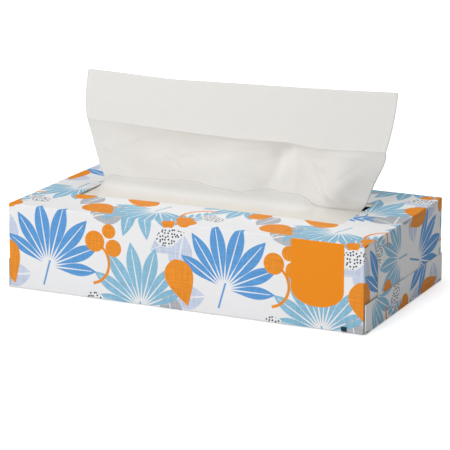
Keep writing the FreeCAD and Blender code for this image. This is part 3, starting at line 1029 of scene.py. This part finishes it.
def tissue_material(sheet):
    """Two-ply paper: crepe lines across the run, loose fibres and a faint cloudiness."""
    material, shader, _ = new_material("soft_paper")
    flat = flat_place(material)
    crepe = flat.stretched((0.5, 3.4, 1.0)).noise(1.0, detail=3.0, roughness=0.65)
    fibres = flat.stretched((1.3, 0.5, 1.0)).noise(1.0, detail=5.0, roughness=0.7)
    cloud = flat.noise(0.07, detail=3.0, roughness=0.55)
    feed(
        shader,
        Base_Color=shaded(tuple(sheet.paper), 0.955 + crepe * 0.03 + fibres * 0.03 + cloud * 0.03),
        Roughness=0.95 - fibres * 0.08,
        Normal=bumped(crepe * 0.6 + fibres * 0.4, 0.0003, 0.5),
        Specular_IOR_Level=0.12,
        Sheen_Weight=0.15,
    )
    return material


def stack_material(stack):
    """Leaves on edge: fine level lines of uneven tone on the sides, plain paper on top."""
    dark_leaf = 0.78
    material, shader, place = new_material("stacked_paper")
    x, y, z = place.split()
    edges = joined(x * 0.02, y * 0.02, z * (MM / stack.pitch)).noise(1.0, roughness=0.6)
    fibres = place.noise(0.9, detail=5.0, roughness=0.65)
    feed(
        shader,
        Base_Color=painted(edges.ramp(0.38, 0.62), [dark_leaf * c for c in stack.paper], stack.paper),
        Roughness=0.97 - fibres * 0.06,
        Normal=bumped(edges + fibres * 0.3, 0.00025, 0.7),
        Specular_IOR_Level=0.12,
    )
    return material


# Stage

def floor_material():
    """Pale floor that the camera sees as white a little way off, with the object's soft shadow beside it."""
    beside, added, reach = 0.48, 0.42, 150.0
    material, shader, place = new_material("floor_paint")
    tree = material.node_tree
    x, y, _ = place.split()
    out_x, out_y = (abs(x) - HALF_LENGTH).most(0.0), (abs(y) - HALF_WIDTH).most(0.0)
    away = (out_x * out_x + out_y * out_y).root()
    seen = Wire(tree, tree.nodes.new("ShaderNodeLightPath").outputs["Is Camera Ray"])
    glow = (away.ramp(0.0, reach) * added + beside) * seen
    feed(
        shader,
        Base_Color=(0.8, 0.8, 0.8, 1.0),
        Roughness=0.9,
        Emission_Color=painted(glow, (0.0, 0.0, 0.0), (1.0, 1.0, 1.0)),
        Emission_Strength=1.0,
        Specular_IOR_Level=0.0,
    )
    return material


def add_floor():
    """A square floor, a hair under the box."""
    half, low = 4, -0.0002
    square = [(-half, -half, low), (half, -half, low), (half, half, low), (-half, half, low)]
    mesh = bpy.data.meshes.new("floor")
    mesh.from_pydata(square, [], [(0, 1, 2, 3)])
    mesh.materials.append(floor_material())
    floor = bpy.data.objects.new("floor", mesh)
    bpy.context.scene.collection.objects.link(floor)


def add_world(stage):
    """Even light from all round; white behind the object, as the camera sees it straight or through clear
    surfaces.
    """
    world = bpy.data.worlds.new("studio")
    world.use_nodes = True
    tree = world.node_tree
    back = tree.nodes["Background"]
    path = tree.nodes.new("ShaderNodeLightPath")
    through = Wire(tree, path.outputs["Is Transmission Ray"])
    seen = Wire(tree, path.outputs["Is Camera Ray"]).most(through)
    tree.links.new(mixed(seen, stage.fill, 1.0).socket, back.inputs["Strength"])
    back.inputs["Color"].default_value = (1, 1, 1, 1)
    bpy.context.scene.world = world


def add_lamp(name, place, width, power):
    """A round soft lamp that points at the box."""
    data = bpy.data.lights.new(name, "AREA")
    data.shape = "DISK"
    data.size = width
    data.energy = power
    lamp = bpy.data.objects.new(name, data)
    lamp.location = place
    lamp.rotation_mode = "QUATERNION"
    lamp.rotation_quaternion = (Vector(LAMP_TARGET) - Vector(place)).to_track_quat("-Z", "Y")
    bpy.context.scene.collection.objects.link(lamp)


def add_camera(stage):
    """The camera looks along its azimuth and elevation from its place."""
    data = bpy.data.cameras.new("camera")
    data.lens = stage.lens
    data.sensor_width = 36
    camera = bpy.data.objects.new("camera", data)
    turn, tilt = stage.azimuth, stage.elevation
    back = Vector((math.sin(turn) * math.cos(tilt), -math.cos(turn) * math.cos(tilt), math.sin(tilt)))
    camera.location = stage.place
    camera.rotation_mode = "QUATERNION"
    camera.rotation_quaternion = (-back).to_track_quat("-Z", "Y")
    bpy.context.scene.collection.objects.link(camera)
    bpy.context.scene.camera = camera


# Operators

def paint_node(node, material):
    """Gives a CAD node this material on all its slots."""
    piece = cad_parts[node]
    for slot in piece.material_slots:
        slot.material = material


class TISSUEBOX_OT_set_stage(bpy.types.Operator):
    """Sets the camera, the soft light and the white floor"""

    bl_idname = "tissuebox.set_stage"
    bl_label = "Set the Stage"

    def execute(self, context):
        stage = context.scene.tissuebox_stage
        context.scene.view_settings.view_transform = "Standard"
        add_camera(stage)
        add_floor()
        add_world(stage)
        add_lamp("key", KEY_PLACE, KEY_WIDTH, stage.key)
        add_lamp("top", TOP_PLACE, TOP_WIDTH, stage.top)
        return {"FINISHED"}


class TISSUEBOX_OT_print_carton(bpy.types.Operator):
    """Prints the folded carton"""

    bl_idname = "tissuebox.print_carton"
    bl_label = "Print the Carton"

    def execute(self, context):
        paint_node("carton", print_material(context.scene.tissuebox_print))
        return {"FINISHED"}


class TISSUEBOX_OT_stack_sheets(bpy.types.Operator):
    """Gives the folded stack its layered paper"""

    bl_idname = "tissuebox.stack_sheets"
    bl_label = "Stack the Sheets"

    def execute(self, context):
        paint_node("tissue_stack", stack_material(context.scene.tissuebox_stack))
        return {"FINISHED"}


class TISSUEBOX_OT_lay_film(bpy.types.Operator):
    """Lays the slit film under the opening, with its two lips beside the sheet"""

    bl_idname = "tissuebox.lay_film"
    bl_label = "Lay the Film"

    def execute(self, context):
        film = context.scene.tissuebox_film
        sheet = context.scene.tissuebox_sheet
        halves = [film_rows(back, film, sheet) for back in (False, True)]
        rows, columns = halves[0][0].shape[:2]
        points = np.concatenate([half.reshape(-1, 3) for half, _ in halves])
        flat = np.concatenate([places.reshape(-1, 2) for _, places in halves])
        back_faces = grid_faces(rows, columns, rows * columns)[:, ::-1]
        faces = np.concatenate([grid_faces(rows, columns), back_faces])
        new_piece(
            "slit_film_lips", points, faces, flat, film_material(film),
            "slit_film", film.thickness)
        return {"FINISHED"}


class TISSUEBOX_OT_pull_sheet(bpy.types.Operator):
    """Pulls the top sheet up through the slit"""

    bl_idname = "tissuebox.pull_sheet"
    bl_label = "Pull the Sheet"

    def execute(self, context):
        sheet = context.scene.tissuebox_sheet
        rows, uv = sheet_points(context.scene.tissuebox_film, sheet)
        faces = grid_faces(*rows.shape[:2])
        piece = new_piece(
            "standing_sheet", rows.reshape(-1, 3), faces, uv.reshape(-1, 2), tissue_material(sheet),
            "pulled_tissue", sheet.thickness)
        return {"FINISHED"}


class TISSUEBOX_PT_panel(bpy.types.Panel):
    """Lists the steps in order"""

    bl_label = "Tissue Box"
    bl_idname = "TISSUEBOX_PT_panel"
    bl_space_type = "VIEW_3D"
    bl_region_type = "UI"
    bl_category = "Tissue Box"

    def draw(self, context):
        for step in STEPS:
            self.layout.operator(step.bl_idname)


STEPS = (
    TISSUEBOX_OT_set_stage,
    TISSUEBOX_OT_print_carton,
    TISSUEBOX_OT_stack_sheets,
    TISSUEBOX_OT_lay_film,
    TISSUEBOX_OT_pull_sheet,
)
SETTINGS = {
    "tissuebox_print": PrintSettings,
    "tissuebox_film": FilmSettings,
    "tissuebox_sheet": SheetSettings,
    "tissuebox_stack": StackSettings,
    "tissuebox_stage": StageSettings,
}


def register():
    for kind in (*SETTINGS.values(), *STEPS, TISSUEBOX_PT_panel):
        bpy.utils.register_class(kind)
    for name, group in SETTINGS.items():
        setattr(bpy.types.Scene, name, PointerProperty(type=group))


def unregister():
    for name in SETTINGS:
        delattr(bpy.types.Scene, name)
    for kind in (TISSUEBOX_PT_panel, *reversed(STEPS), *SETTINGS.values()):
        bpy.utils.unregister_class(kind)


def main():
    register()
    bpy.ops.tissuebox.set_stage()
    bpy.ops.tissuebox.print_carton()
    bpy.ops.tissuebox.stack_sheets()
    bpy.ops.tissuebox.lay_film()
    bpy.ops.tissuebox.pull_sheet()


if __name__ == "__main__":
    main()
